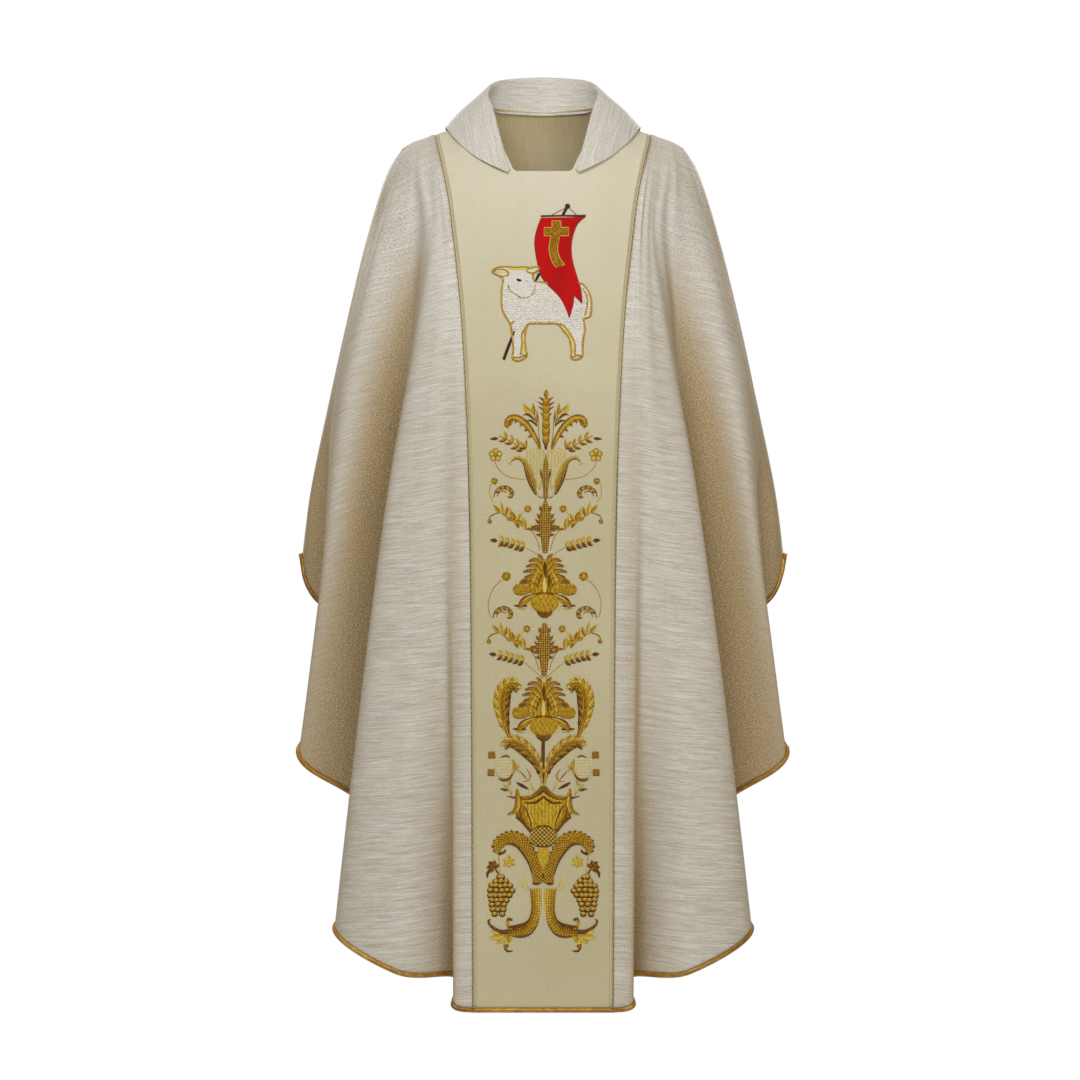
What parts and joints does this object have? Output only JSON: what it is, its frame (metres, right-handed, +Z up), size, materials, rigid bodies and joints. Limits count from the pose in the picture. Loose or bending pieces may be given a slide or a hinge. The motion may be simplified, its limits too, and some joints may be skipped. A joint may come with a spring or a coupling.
{
  "type": "chasuble",
  "caption": "Lined gothic chasuble: brocade body in hanging folds, embroidered orphrey, turned-down collar and rolled hem, in its worn shape.",
  "frame": {"origin": "centre of the neck opening at the height of the shoulder line", "axes": "+Z up, the front of the garment faces -Y, +X towards the viewer's right when seen from the front"},
  "size_m": [0.7438, 0.2999, 1.4013],
  "materials": {
    "orphrey_cloth": "fine even weave, soft sheen",
    "brocade": "ivory and silver lurex brocade with irregular cross streaks",
    "lining_satin": "cream satin",
    "interlining": "matt woven stiffening",
    "galloon_braid": "twisted gold cord braid",
    "hem_satin": "gold-brown satin, rolled",
    "brown_thread": "satin stitch",
    "red_thread": "close satin stitch",
    "white_thread": "looped stitch",
    "pale_gold_thread": "satin stitch",
    "dark_gold_thread": "satin stitch",
    "gold_thread": "metallic satin stitch"
  },
  "bodies": {
    "root": {"front_orphrey": "orphrey_cloth", "back_orphrey": "orphrey_cloth", "front_body_left": "brocade", "front_body_right": "brocade", "back_body_left": "brocade", "back_body_right": "brocade", "front_lining": "lining_satin", "back_lining": "lining_satin", "front_interlining": "interlining", "back_interlining": "interlining", "top_collar": "brocade", "under_collar": "lining_satin", "collar_interlining": "interlining", "neckline_facing": "orphrey_cloth", "shoulder_tape_left": "interlining", "shoulder_tape_right": "interlining", "galloon_front_left": "galloon_braid", "galloon_front_right": "galloon_braid", "galloon_back_left": "galloon_braid", "galloon_back_right": "galloon_braid", "hem_binding_front": "hem_satin", "hem_binding_back": "hem_satin", "banner_staff": "brown_thread", "banner_crossbar": "brown_thread", "banner_cords": "brown_thread", "banner_field": "red_thread", "banner_cross": "gold_thread", "lamb_fleece": "white_thread", "lamb_outline": "gold_thread", "lamb_face": "brown_thread", "wheat_finial": "gold_thread", "acanthus_fronds": "gold_thread", "tulip": "pale_gold_thread", "side_branches": "gold_thread", "ring_flowers": "gold_thread", "curled_ferns": "gold_thread", "garlands": "gold_thread", "cone_upper": "dark_gold_thread", "leaf_sprays": "gold_thread", "palmette_upper": "gold_thread", "cone_lower": "dark_gold_thread", "palmette_lower": "gold_thread", "acanthus_plumes": "gold_thread", "stem_leaves": "dark_gold_thread", "thistles": "pale_gold_thread", "crown_fan": "gold_thread", "checkered_ball": "dark_gold_thread", "horn_scrolls": "gold_thread", "grape_clusters": "dark_gold_thread", "vine_leaves": "gold_thread", "scroll_legs": "gold_thread", "base_leaves": "gold_thread", "back_column_top": "gold_thread", "back_column_middle": "gold_thread", "back_column_foot": "gold_thread"}
  },
  "joints": []
}
